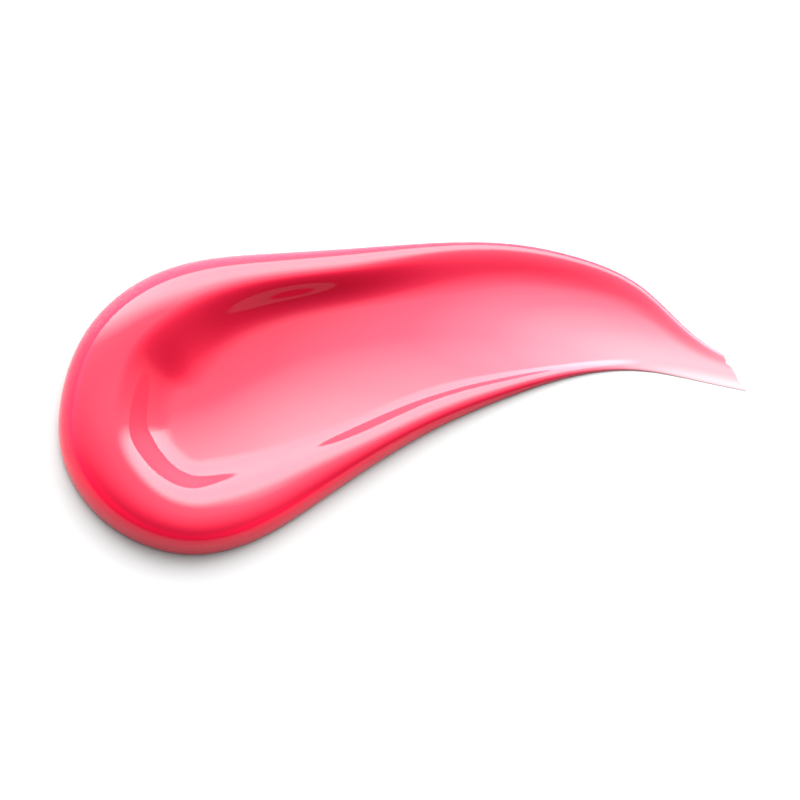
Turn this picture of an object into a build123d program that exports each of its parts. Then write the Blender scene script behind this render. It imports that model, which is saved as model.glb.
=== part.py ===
from build123d import *
import os
import numpy as np

# One smear of lip gloss, resting on a flat surface. Millimetres.
# +X runs from the round head to the thin tail, +Y to the far side, +Z up.
# The head is a pool with a raised rim; the tail is dragged out to a thin film.

length = 40.0          # head tip to tail tip
width = 18.6           # across the head and the bulge of the far side
rim_height = 2.95      # top of the raised rim at the head
bead_width = 3.25      # widest run of the outer bead, edge to rim top
wall_width = 4.4       # widest run of the inner wall, rim top to floor
head_depth = 0.75      # gel left on the trough's floor in the head
film_depth = 0.07      # gel left at the very end of the tail
dish = 0.015           # rise of the floor to its sides, for each square mm
bead_power = 2.45      # 2 makes the bead an ellipse, more a flatter top
flare = 6.5            # how soon the inner wall drops behind the rim
flare_swing = 6.5      # how much sooner it does so on the far side
sink = 0.1             # drawn below the rest plane and trimmed off

outline_points = 2001  # places along the outline that heights are measured from
section_points = 41    # points across each section
head_centre = 0.191    # where the round head ends, as a share of the length
head_sections = 10
body_sections = 16
start_turn = 0.03      # the first section, so near the tip that it is all but a point

# The outline, from the far corner of the tail round the head to the near
# corner: along, across, share of rim height, of bead width and of wall width.
outline = [
    (1.000, 0.149, 0.03, 0.04, 0.10),
    (0.930, 0.236, 0.07, 0.07, 0.19),
    (0.843, 0.410, 0.14, 0.12, 0.32),
    (0.757, 0.496, 0.21, 0.15, 0.42),
    (0.655, 0.541, 0.27, 0.19, 0.50),
    (0.554, 0.544, 0.35, 0.26, 0.58),
    (0.423, 0.523, 0.61, 0.46, 0.51),
    (0.296, 0.503, 0.85, 0.61, 0.61),
    (0.191, 0.476, 0.98, 0.82, 0.89),
    (0.122, 0.421, 1.00, 0.92, 1.00),
    (0.046, 0.279, 0.97, 0.96, 0.86),
    (0.006, 0.074, 0.94, 1.00, 0.80),
    (0.007, -0.151, 0.94, 0.93, 0.82),
    (0.061, -0.335, 0.89, 0.80, 0.88),
    (0.122, -0.419, 0.83, 0.69, 0.85),
    (0.191, -0.453, 0.78, 0.63, 0.81),
    (0.278, -0.415, 0.72, 0.60, 0.78),
    (0.365, -0.305, 0.61, 0.46, 0.64),
    (0.452, -0.175, 0.55, 0.30, 0.48),
    (0.554, -0.044, 0.39, 0.20, 0.40),
    (0.655, 0.052, 0.23, 0.13, 0.25),
    (0.757, 0.121, 0.09, 0.07, 0.12),
    (0.843, 0.134, 0.04, 0.05, 0.09),
    (0.930, 0.100, 0.02, 0.04, 0.08),
    (1.000, 0.068, 0.02, 0.04, 0.07),
]

# The trough's floor from head to tail: along, where across (mm) it is lowest,
# and how far its depth has gone from the head's to the film's.
trough = [
    (0.10, 0.4, 0.00),
    (0.19, 0.6, 0.04),
    (0.31, 2.9, 0.29),
    (0.42, 4.3, 0.49),
    (0.54, 4.9, 0.65),
    (0.65, 4.7, 0.81),
    (0.77, 3.8, 0.93),
    (0.88, 2.7, 0.98),
    (1.00, 1.4, 1.00),
]

# The torn end of the film, from the far side to the near side.
torn_end = [
    (0.957, 0.263),
    (0.965, 0.187),
    (0.971, 0.162),
    (0.975, 0.149),
    (0.986, 0.116),
    (0.990, 0.100),
    (1.000, 0.068),
    (1.003, 0.020),
]


def smooth_curve(knots, values, at):
    """Natural cubic spline through the values at the knots."""
    gap = np.diff(knots)
    slope = np.diff(values) / gap
    size = len(knots)
    system = np.eye(size)
    right = np.zeros(size)
    for i in range(1, size - 1):
        system[i, i - 1:i + 2] = gap[i - 1], 2 * (gap[i - 1] + gap[i]), gap[i]
        right[i] = 6 * (slope[i] - slope[i - 1])
    bend = np.linalg.solve(system, right)
    i = np.clip(np.searchsorted(knots, at, side="right") - 1, 0, size - 2)
    t = at - knots[i]
    first = slope[i] - gap[i] * (2 * bend[i] + bend[i + 1]) / 6
    third = (bend[i + 1] - bend[i]) / (6 * gap[i])
    return values[i] + t * (first + t * (bend[i] / 2 + t * third))


def edge_samples():
    """Distance along the outline, then its rows, at many even steps."""
    sizes = (length, width, rim_height, bead_width, wall_width)
    rows = np.array(outline) * sizes
    steps = np.hypot(np.diff(rows[:, 0]), np.diff(rows[:, 1]))
    knots = np.concatenate([[0.0], np.cumsum(steps)])
    at = np.linspace(0.0, knots[-1], outline_points)
    return at, [smooth_curve(knots, rows[:, k], at) for k in range(5)]


edge_at, (edge_x, edge_y, edge_rim, edge_bead, edge_wall) = edge_samples()
edge_run = np.hypot(np.gradient(edge_x, edge_at), np.gradient(edge_y, edge_at))
inward_x = -np.gradient(edge_y, edge_at) / edge_run
inward_y = np.gradient(edge_x, edge_at) / edge_run
tip = int(np.argmin(edge_x))


def floor_height(x, y):
    """Depth of gel on the trough's floor, a shallow dish about its lowest line."""
    along, low, thinned = np.array(trough).T
    share = x / length
    depth = head_depth + (film_depth - head_depth) * smooth_curve(along, thinned, share)
    return depth + dish * (y - smooth_curve(along, low, share)) ** 2


def gel_height(x, y):
    """Height of the gel: bead, inner wall, floor, in from the nearest edge."""
    near = np.argmin((x[:, None] - edge_x) ** 2 + (y[:, None] - edge_y) ** 2, axis=1)
    away_x = x - edge_x[near]
    away_y = y - edge_y[near]
    inset = np.maximum(away_x * inward_x[near] + away_y * inward_y[near], 0.0)
    place = edge_at[near] + away_x * inward_y[near] - away_y * inward_x[near]
    rim, bead, wall = [np.interp(place, edge_at, v) for v in (edge_rim, edge_bead, edge_wall)]
    rise = np.maximum(1 - inset / bead, 0.0)
    outer = (rim + sink) * (1 - rise ** bead_power) ** (1 / bead_power) - sink
    q = np.clip((inset - bead) / wall, 0.0, 1.0)
    pull = flare - flare_swing * inward_y[near]
    fall = 1 - q ** 3 * (10 - 15 * q + 6 * q ** 2) - pull / 2 * q ** 2 * (1 - q) ** 3
    floor = floor_height(x, y)
    return np.where(inset < bead, outer, floor + (rim - floor) * fall)


def section(x):
    """The closed outline of the gel, cut square across at x."""
    share = np.linspace(0.0, 1.0, section_points)
    far_y = np.interp(x, edge_x[tip:0:-1], edge_y[tip:0:-1])
    near_y = np.interp(x, edge_x[tip:], edge_y[tip:])
    y = near_y + (far_y - near_y) * (1 - np.cos(np.pi * share)) / 2
    z = gel_height(x + 0 * y, y)
    z[0] = z[-1] = -sink
    top = [(x, float(b), float(c)) for b, c in zip(y, z)]
    skin = Edge.make_spline(top, parameters=[float(s) for s in share])
    return Wire([skin, Edge.make_line(top[-1], top[0])])


def gloss_smear():
    """The whole smear: lofted sections, trimmed flat and torn at the tail."""
    centre_x = head_centre * length
    turns = np.linspace(start_turn, np.pi / 2, head_sections)
    head = centre_x + (edge_x[tip] - centre_x) * np.cos(turns)
    body = np.linspace(centre_x, length, body_sections + 1)[1:]
    places = [float(x) for x in np.concatenate([head, body])]
    gel = Solid.make_loft([section(x) for x in places])
    above = Pos(length / 2, 0, 5) * Box(length + 20, width + 20, 10)
    corners = [(a * length, b * width) for a, b in torn_end]
    corners += [(length + 5, corners[-1][1]), (length + 5, corners[0][1])]
    torn = extrude(make_face(Polyline(*corners, close=True)), 10)
    return (above & gel) - torn


if __name__ == "__main__":
    os.makedirs("parts", exist_ok=True)
    smear = gloss_smear()
    box = smear.bounding_box()
    smear = Pos(-box.center().X, -box.center().Y, -box.min.Z) * smear
    export_step(smear, "parts/gloss_smear.step")
    print("gloss_smear", round(smear.volume, 1), "cubic mm")
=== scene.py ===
import bmesh
import bpy
import math
import numpy as np
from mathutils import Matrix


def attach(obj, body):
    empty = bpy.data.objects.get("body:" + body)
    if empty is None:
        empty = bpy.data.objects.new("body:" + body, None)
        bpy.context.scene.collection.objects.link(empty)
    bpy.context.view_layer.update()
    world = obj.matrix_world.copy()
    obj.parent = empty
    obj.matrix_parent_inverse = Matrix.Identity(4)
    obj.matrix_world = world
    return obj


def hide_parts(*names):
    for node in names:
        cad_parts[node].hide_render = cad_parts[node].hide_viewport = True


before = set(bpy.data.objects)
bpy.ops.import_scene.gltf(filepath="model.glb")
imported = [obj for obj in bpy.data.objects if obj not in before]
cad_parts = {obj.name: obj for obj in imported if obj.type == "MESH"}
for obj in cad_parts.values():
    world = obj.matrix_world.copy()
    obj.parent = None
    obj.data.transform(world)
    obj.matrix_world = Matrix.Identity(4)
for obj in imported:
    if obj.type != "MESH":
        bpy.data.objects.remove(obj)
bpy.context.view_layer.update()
mm = 0.001

# millimetres, with +X from the round head to the tail and +Y to the far side
smear = {
    "length": 40.0,
    "width": 18.6,
    "headCentre": 0.191,      # share of the length
    "beadPower": 2.45,        # 2 is an ellipse, more is a flatter top
    "flare": 6.5,             # how soon the inner wall drops behind the rim
    "flareSwing": 6.5,        # how much sooner on the far side than on the near one
    "dish": 0.015,            # rise of the floor to its sides, for each square mm
    # along (share of length), where across the trough is lowest, gel left there
    "trough": [
        (0.10, 0.4, 0.75),
        (0.19, 0.6, 0.72),
        (0.31, 2.9, 0.55),
        (0.42, 4.3, 0.42),
        (0.54, 4.9, 0.31),
        (0.65, 4.7, 0.20),
        (0.77, 3.8, 0.12),
        (0.88, 2.7, 0.085),
        (1.00, 1.4, 0.07),
    ],
    "outlineSteps": 1600,     # places along the outline that heights are measured from
    "bodySteps": 200,         # rows down each side of the tail
    "headSteps": 130,         # rows round the head
    "beadSteps": 20,
    "wallSteps": 36,
    "floorSteps": 14,
    "beadReach": 0.45,        # most of a row that the bead's columns may take
    "wallReach": 0.95,        # the same for bead and wall together
    "coreBend": 6.0,          # how soon the core line leaves the middle of the head
    "mergeWithin": 1e-7,      # metres, closes the seam down the core line
    # from the far corner of the tail round the head to the near corner:
    # along, across (shares of length and width), rim height, bead width, wall width
    "outline": [
        (1.000, 0.149, 0.10, 0.12, 0.45),
        (0.930, 0.236, 0.21, 0.24, 0.85),
        (0.843, 0.410, 0.42, 0.40, 1.40),
        (0.757, 0.496, 0.61, 0.50, 1.85),
        (0.655, 0.541, 0.79, 0.63, 2.20),
        (0.554, 0.544, 1.04, 0.85, 2.55),
        (0.423, 0.523, 1.80, 1.50, 2.25),
        (0.296, 0.503, 2.50, 1.98, 2.68),
        (0.191, 0.476, 2.88, 2.66, 3.90),
        (0.122, 0.421, 2.95, 2.98, 4.40),
        (0.046, 0.279, 2.87, 3.13, 3.80),
        (0.006, 0.074, 2.78, 3.25, 3.50),
        (0.007, -0.151, 2.76, 3.02, 3.60),
        (0.061, -0.335, 2.62, 2.60, 3.85),
        (0.122, -0.419, 2.45, 2.25, 3.75),
        (0.191, -0.453, 2.31, 2.05, 3.55),
        (0.278, -0.415, 2.12, 1.95, 3.45),
        (0.365, -0.305, 1.81, 1.48, 2.82),
        (0.452, -0.175, 1.61, 0.97, 2.10),
        (0.554, -0.044, 1.16, 0.65, 1.75),
        (0.655, 0.052, 0.69, 0.42, 1.10),
        (0.757, 0.121, 0.28, 0.22, 0.55),
        (0.843, 0.134, 0.10, 0.18, 0.60),
        (0.930, 0.100, 0.04, 0.20, 0.80),
        (1.000, 0.068, 0.03, 0.20, 0.75),
    ],
    "farCornerBack": 0.036,   # share of the length that the far corner stops short by
    # the torn end: share of the way from far to near corner, mm past a straight end
    "tear": [
        (0.00, 0.00),
        (0.17, -0.08),
        (0.25, -0.19),
        (0.35, 0.03),
        (0.50, 0.02),
        (0.70, -0.08),
        (0.79, 0.05),
        (1.00, 0.00),
    ],
    "tearReach": 0.35,        # how far up the tail the tear is felt
}


# natural cubic spline: a cubic on each gap, with value, slope and bend
# carried across every knot and no bend at the two ends
def smoothCurve(knots, values, at):
    gap = np.diff(knots)
    slope = np.diff(values) / gap
    size = len(knots)
    system = np.eye(size)
    right = np.zeros(size)
    inner = np.arange(1, size - 1)
    system[inner, inner - 1] = gap[:-1]
    system[inner, inner] = 2 * (gap[:-1] + gap[1:])
    system[inner, inner + 1] = gap[1:]
    right[inner] = 6 * (slope[1:] - slope[:-1])
    bend = np.linalg.solve(system, right)
    i = np.clip(np.searchsorted(knots, at, side="right") - 1, 0, size - 2)
    t = at - knots[i]
    first = slope[i] - gap[i] * (2 * bend[i] + bend[i + 1]) / 6
    third = (bend[i + 1] - bend[i]) / (6 * gap[i])
    return values[i] + t * (first + t * (bend[i] / 2 + t * third))


# the outline at even steps: place along it, position, the way in (a quarter
# turn from the way along), rim height, bead width and wall width
def outlineSamples(s):
    rows = np.array(s["outline"]) * (s["length"], s["width"], 1, 1, 1)
    steps = np.hypot(np.diff(rows[:, 0]), np.diff(rows[:, 1]))
    knots = np.concatenate([[0.0], np.cumsum(steps)])
    at = np.linspace(0.0, knots[-1], s["outlineSteps"])
    x, y, rim, bead, wall = [smoothCurve(knots, rows[:, k], at) for k in range(5)]
    along, across = np.gradient(x, at), np.gradient(y, at)
    size = np.hypot(along, across)
    return at, x, y, -across / size, along / size, rim, bead, wall


# rows of the grid run straight in from the edge to a core line: far side from
# the tail to the head centre, round the head, near side back to the tail; the
# columns are close together over the bead and the wall, and wider on the floor
def smearPlan(s, edge):
    at, edgeX, edgeY, inX, inY, _, bead, wall = edge
    tip = int(np.argmin(edgeX))
    centreX = s["headCentre"] * s["length"]
    body = np.linspace(1.0, 0.0, s["bodySteps"])
    nearX = centreX + body * (s["length"] - centreX)
    farX = centreX + body * (s["length"] * (1 - s["farCornerBack"]) - centreX)
    farPlace = np.interp(farX, edgeX[tip:0:-1], at[tip:0:-1])
    nearPlace = np.interp(nearX, edgeX[tip:], at[tip:])
    turn = np.unwrap(np.arctan2(edgeY, edgeX - centreX))
    angles = np.linspace(np.pi / 2, 3 * np.pi / 2, s["headSteps"] + 2)[1:-1]
    headPlace = np.interp(angles, turn, at)
    place = np.concatenate([farPlace, headPlace, nearPlace[::-1]])
    x, y, wayX, wayY = [np.interp(place, at, v) for v in (edgeX, edgeY, inX, inY)]
    first, second = [np.interp(place, at, v) for v in (bead, wall)]
    coreX = (farX + nearX) / 2
    coreY = (np.interp(farPlace, at, edgeY) + np.interp(nearPlace, at, edgeY)) / 2
    coreY = coreY * (1 - np.exp(-s["coreBend"] * body))
    zero = np.zeros(s["headSteps"])
    toCoreX = np.concatenate([coreX, zero + centreX, coreX[::-1]]) - x
    toCoreY = np.concatenate([coreY, zero, coreY[::-1]]) - y
    reach = toCoreX * wayX + toCoreY * wayY
    first = np.minimum(first, s["beadReach"] * reach)[:, None]
    second = np.minimum(second, s["wallReach"] * reach - first[:, 0])[:, None]
    quarter = np.linspace(0.0, np.pi / 2, s["beadSteps"] + 1)[None, :-1]
    q = np.linspace(0.0, 1.0, s["wallSteps"] + 1)[None, :]
    rest = np.linspace(0.0, 1.0, s["floorSteps"] + 1)[None, 1:]
    inset = np.concatenate([first * (1 - np.cos(quarter)), first + second * q], axis=1)
    last = inset[:, -1:]
    inset = np.concatenate([inset, last + (reach[:, None] - last) * rest], axis=1)
    part = inset / reach[:, None]
    x = x[:, None] + toCoreX[:, None] * part
    y = y[:, None] + toCoreY[:, None] * part
    return tornTail(s, x, y)


# the straight end line is pushed out or in by the tear at each place across,
# and the push dies away exponentially up the tail
def tornTail(s, x, y):
    farX, farY, nearX, nearY = x[0, 0], y[0, 0], x[-1, 0], y[-1, 0]
    share = np.clip((farY - y) / (farY - nearY), 0, 1)
    before = np.maximum(farX + (nearX - farX) * share - x, 0)
    places, push = np.array(s["tear"]).T
    return x + np.interp(share, places, push) * np.exp(-before / s["tearReach"]), y


# height over the paper at each place, from how far in it lies from the nearest
# edge: a flat-topped quarter ellipse up to the rim, then a wall that leaves the
# rim level and runs out level on the trough's floor, which is a shallow dish
# about its lowest line; depth is how much gel is looked into, and flank is 1 at
# the edge and 0 at the rim, the mask for the painted flank light; worked out one
# column of the grid at a time
def smearHeight(s, edge, x, y):
    at, edgeX, edgeY, inX, inY, rim, bead, wall = edge
    height, depth, flank = np.zeros_like(x), np.zeros_like(x), np.zeros_like(x)
    along, lowLine, lowDepth = np.array(s["trough"]).T
    for k in range(x.shape[1]):
        px, py = x[:, k], y[:, k]
        near = np.argmin((px[:, None] - edgeX) ** 2 + (py[:, None] - edgeY) ** 2, axis=1)
        awayX, awayY = px - edgeX[near], py - edgeY[near]
        inset = np.maximum(awayX * inX[near] + awayY * inY[near], 0)
        place = at[near] + awayX * inY[near] - awayY * inX[near]
        top, a, w = [np.interp(place, at, v) for v in (rim, bead, wall)]
        low, left = [smoothCurve(along, v, px / s["length"]) for v in (lowLine, lowDepth)]
        floor = left + s["dish"] * (py - low) ** 2
        pull = s["flare"] - s["flareSwing"] * inY[near]
        q = np.clip((inset - a) / w, 0, 1)
        fall = 1 - q ** 3 * (10 - 15 * q + 6 * q ** 2) - 0.5 * pull * q ** 2 * (1 - q) ** 3
        flank[:, k] = np.maximum(1 - inset / a, 0)
        up = top * np.maximum(1 - flank[:, k] ** s["beadPower"], 0) ** (1 / s["beadPower"])
        height[:, k] = np.where(inset < a, up, floor + (top - floor) * fall)
        depth[:, k] = np.where(inset < a, top, height[:, k])
    return height, depth, flank


# four corners of each square of a grid, counted row by row from the first point
def gridFaces(rows, columns, first=0):
    i = np.arange(rows - 1)[:, None] * columns
    j = np.arange(columns - 1)[None, :]
    a = first + i + j
    return np.stack([a, a + 1, a + columns + 1, a + columns], axis=-1).reshape(-1, 4)


# the grid's top, the same grid laid flat below it, and a strip of faces that
# closes each torn end; the two meet at the edge, where the height is zero
def buildSmear(s):
    edge = outlineSamples(s)
    x, y = smearPlan(s, edge)
    z, depth, flank = smearHeight(s, edge, x, y)
    z[:, 0] = 0
    rows, columns = x.shape
    x = x - (x.min() + x.max()) / 2
    y = y - (y.min() + y.max()) / 2
    count = rows * columns
    top = np.stack([x, y, z], axis=-1).reshape(-1, 3)
    under = top * (1, 1, 0)
    points = np.concatenate([top, under]) * mm
    faces = gridFaces(rows, columns)
    lower = gridFaces(rows, columns, count)[:, ::-1]
    start = np.arange(columns - 1)
    end = start + (rows - 1) * columns
    startWall = np.stack([start + 1, start, start + count, start + 1 + count], axis=-1)
    endWall = np.stack([end, end + 1, end + 1 + count, end + count], axis=-1)
    quads = np.concatenate([faces, lower, startWall, endWall])
    mesh = bpy.data.meshes.new("gloss")
    mesh.from_pydata(points.tolist(), [], quads.tolist())
    for name, value in (("filmDepth", depth), ("flank", flank)):
        attribute = mesh.attributes.new(name, "FLOAT", "POINT")
        attribute.data.foreach_set("value", np.tile(value.ravel(), 2).astype(np.float32))
    mesh.polygons.foreach_set("use_smooth", np.ones(len(mesh.polygons), dtype=bool))
    piece = bpy.data.objects.new("gloss", mesh)
    bpy.context.scene.collection.objects.link(piece)
    closeMesh(mesh, s["mergeWithin"])
    return piece


# merges points that lie on each other and turns every face outwards
def closeMesh(mesh, within):
    work = bmesh.new()
    work.from_mesh(mesh)
    bmesh.ops.remove_doubles(work, verts=work.verts, dist=within)
    bmesh.ops.recalc_face_normals(work, faces=work.faces)
    work.to_mesh(mesh)
    work.free()
    mesh.update()


gel = {
    "deep": (0.48, 0.005, 0.030),    # gel too thick to see through
    "paintedFlankLight": (0.80, 0.006, 0.042),     # painted light: the outer flank set lighter and redder, for light that comes in from the side
    "paintedLightFrom": 0.55,                 # shares of the way from rim to edge that the painted flank light comes in over
    "paintedLightTo": 0.85,                   # flank's colour comes in over
    "paper": (0.37, 0.37, 0.37),     # what shows through the thinnest film
    "reach": (0.26, 0.115, 0.135),   # mm that red, green and blue light get in
    "depths": (0.0, 0.04, 0.08, 0.14, 0.22, 0.34, 0.55, 1.2),   # mm, the ramp's stops
    "roughness": 0.04,
    "ior": 1.5,
}


# colour from depth: the share of the paper's colour that comes through falls
# off exponentially with depth, and the rest is the deep gel's colour
def gelMaterial(g):
    material = bpy.data.materials.new("gloss gel")
    material.use_nodes = True
    nodes, links = material.node_tree.nodes, material.node_tree.links
    shader = nodes["Principled BSDF"]
    shader.inputs["Roughness"].default_value = g["roughness"]
    shader.inputs["IOR"].default_value = g["ior"]
    depth = nodes.new("ShaderNodeAttribute")
    depth.attribute_name = "filmDepth"
    scale = nodes.new("ShaderNodeMath")
    scale.operation = "DIVIDE"
    depths = np.array(g["depths"])
    scale.inputs[1].default_value = depths[-1]
    ramp = nodes.new("ShaderNodeValToRGB")
    seen = np.exp(-depths[:, None] / np.array(g["reach"]))
    colours = seen * np.array(g["paper"]) + (1 - seen) * np.array(g["deep"])
    stops = ramp.color_ramp.elements
    while len(stops) < len(depths):
        stops.new(0.5)
    for stop, place, colour in zip(stops, depths / depths[-1], colours):
        stop.position = place
        stop.color = (*colour, 1)
    links.new(depth.outputs["Fac"], scale.inputs[0])
    links.new(scale.outputs[0], ramp.inputs["Fac"])
    # painted light: the outer flank of thick gel is mixed towards a lighter, redder
    # colour, for light that comes in from the side
    flank = nodes.new("ShaderNodeAttribute")
    flank.attribute_name = "flank"
    paintedLightShare = nodes.new("ShaderNodeMapRange")
    paintedLightShare.interpolation_type = "SMOOTHSTEP"
    paintedLightShare.inputs["From Min"].default_value = g["paintedLightFrom"]
    paintedLightShare.inputs["From Max"].default_value = g["paintedLightTo"]
    thick = nodes.new("ShaderNodeMath")    # thin film keeps its own colour, without the painted flank light
    thick.operation = "MULTIPLY"
    thick.use_clamp = True
    shown = nodes.new("ShaderNodeMix")
    shown.data_type = "RGBA"
    shown.inputs["B"].default_value = (*g["paintedFlankLight"], 1)
    links.new(flank.outputs["Fac"], paintedLightShare.inputs["Value"])
    links.new(paintedLightShare.outputs["Result"], thick.inputs[0])
    links.new(depth.outputs["Fac"], thick.inputs[1])
    links.new(thick.outputs[0], shown.inputs["Factor"])
    links.new(ramp.outputs["Color"], shown.inputs["A"])
    links.new(shown.outputs["Result"], shader.inputs["Base Color"])
    return material


piece = buildSmear(smear)
piece.data.materials.append(gelMaterial(gel))
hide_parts("gloss_smear")
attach(piece, "root")
print("gloss smear built,", len(piece.data.polygons), "faces")

# metres; the room lights softly from above and the far side, less from the near side
studio = {
    "floorSize": 3.0,
    "floorGap": 0.000003,     # keeps the paper off the underside
    "floorColour": (0.37, 0.37, 0.37),
    "floorRoughness": 0.3,
    "strength": 11.8,
    # how bright the room is, from the near side round to the far side
    "bands": [
        (0.0, 0.004),
        (0.125, 0.012),
        (0.25, 0.034),
        (0.375, 0.09),
        (0.5, 0.14),
        (0.625, 0.23),
        (0.75, 0.92),
        (0.8125, 1.0),
        (0.875, 0.95),
        (1.0, 0.85),
    ],
    # the same for the darker belt of room under the soft box, and how high the
    # belt's top edge is, as heights on a sphere of radius 1
    "belt": [(0.0, 0.045), (0.5, 0.09), (1.0, 0.28)],
    "beltTop": (0.155, 0.170),
    "beltTilt": 0.08,         # how much higher it is on the far side
    "leftFall": 0.36,         # how much darker the room is to the left
    "backdrop": (1.0, 1.0, 1.0),   # what is seen past the paper's far edge
}


# a grey ramp with one stop for each pair of place and brightness
def brightnessRamp(nodes, rows):
    ramp = nodes.new("ShaderNodeValToRGB")
    stops = ramp.color_ramp.elements
    while len(stops) < len(rows):
        stops.new(0.5)
    for stop, (place, value) in zip(stops, rows):
        stop.position = place
        stop.color = (value, value, value, 1)
    return ramp


# one big square of paper just under the gel
def buildFloor(s):
    half = s["floorSize"] / 2
    z = -s["floorGap"]
    corners = [(-half, -half, z), (half, -half, z), (half, half, z), (-half, half, z)]
    mesh = bpy.data.meshes.new("floor")
    mesh.from_pydata(corners, [], [(0, 1, 2, 3)])
    floor = bpy.data.objects.new("floor", mesh)
    bpy.context.scene.collection.objects.link(floor)
    paper = bpy.data.materials.new("white paper")
    paper.use_nodes = True
    shader = paper.node_tree.nodes["Principled BSDF"]
    shader.inputs["Base Color"].default_value = (*s["floorColour"], 1)
    shader.inputs["Roughness"].default_value = s["floorRoughness"]
    mesh.materials.append(paper)


# the room's brightness follows the direction's Y, less a share of any X to the
# left; below the belt's top edge, which rises to the far side, the belt is seen;
# the picture itself sees the plain backdrop instead
def buildRoom(s):
    world = bpy.data.worlds.new("studio")
    bpy.context.scene.world = world
    world.use_nodes = True
    nodes, links = world.node_tree.nodes, world.node_tree.links
    room = nodes["Background"]
    room.inputs["Strength"].default_value = s["strength"]
    coord = nodes.new("ShaderNodeTexCoord")
    split = nodes.new("ShaderNodeSeparateXYZ")
    left = nodes.new("ShaderNodeMath")
    left.operation = "MINIMUM"
    left.inputs[1].default_value = 0.0
    shift = nodes.new("ShaderNodeMath")
    shift.operation = "MULTIPLY_ADD"
    shift.inputs[1].default_value = s["leftFall"]
    tilt = nodes.new("ShaderNodeMath")
    tilt.operation = "MULTIPLY_ADD"
    tilt.inputs[1].default_value = -s["beltTilt"]
    fit = nodes.new("ShaderNodeMapRange")
    fit.inputs["From Min"].default_value = -1.0
    over = nodes.new("ShaderNodeMapRange")
    over.inputs["From Min"].default_value = s["beltTop"][0]
    over.inputs["From Max"].default_value = s["beltTop"][1]
    upper, lower = brightnessRamp(nodes, s["bands"]), brightnessRamp(nodes, s["belt"])
    sky = nodes.new("ShaderNodeMix")
    sky.data_type = "RGBA"
    links.new(coord.outputs["Generated"], split.inputs[0])
    links.new(split.outputs["X"], left.inputs[0])
    links.new(left.outputs[0], shift.inputs[0])
    links.new(split.outputs["Y"], shift.inputs[2])
    links.new(split.outputs["Y"], tilt.inputs[0])
    links.new(split.outputs["Z"], tilt.inputs[2])
    links.new(shift.outputs[0], fit.inputs["Value"])
    links.new(tilt.outputs[0], over.inputs["Value"])
    links.new(fit.outputs[0], upper.inputs["Fac"])
    links.new(fit.outputs[0], lower.inputs["Fac"])
    links.new(over.outputs[0], sky.inputs["Factor"])
    links.new(lower.outputs["Color"], sky.inputs["A"])
    links.new(upper.outputs["Color"], sky.inputs["B"])
    links.new(sky.outputs["Result"], room.inputs["Color"])
    backdrop = nodes.new("ShaderNodeBackground")
    backdrop.inputs["Color"].default_value = (*s["backdrop"], 1)
    path = nodes.new("ShaderNodeLightPath")
    mix = nodes.new("ShaderNodeMixShader")
    links.new(path.outputs["Is Camera Ray"], mix.inputs["Fac"])
    links.new(room.outputs[0], mix.inputs[1])
    links.new(backdrop.outputs[0], mix.inputs[2])
    links.new(mix.outputs[0], nodes["World Output"].inputs["Surface"])


buildFloor(studio)
buildRoom(studio)
print("studio built")

view = {
    "elevation": 77.0,        # degrees above the paper, looking along +Y
    "distance": 0.45,
    "frameWidth": 0.0464,     # metres across the picture at the target
    "target": (-0.0002, -0.0001, 0.0),
    "sensor": 36.0,
    "clipStart": 0.01,
}


# looks along +Y and down at the target, with a lens that fits the frame's width
def buildCamera(v):
    data = bpy.data.cameras.new("camera")
    data.sensor_width = v["sensor"]
    data.lens = v["sensor"] * v["distance"] / v["frameWidth"]
    data.clip_start = v["clipStart"]
    camera = bpy.data.objects.new("camera", data)
    bpy.context.scene.collection.objects.link(camera)
    tilt = math.radians(v["elevation"])
    x, y, z = v["target"]
    back, up = v["distance"] * math.cos(tilt), v["distance"] * math.sin(tilt)
    camera.location = (x, y - back, z + up)
    camera.rotation_euler = (math.pi / 2 - tilt, 0, 0)
    bpy.context.scene.camera = camera


buildCamera(view)
bpy.context.scene.view_settings.view_transform = "Standard"
print("camera placed")
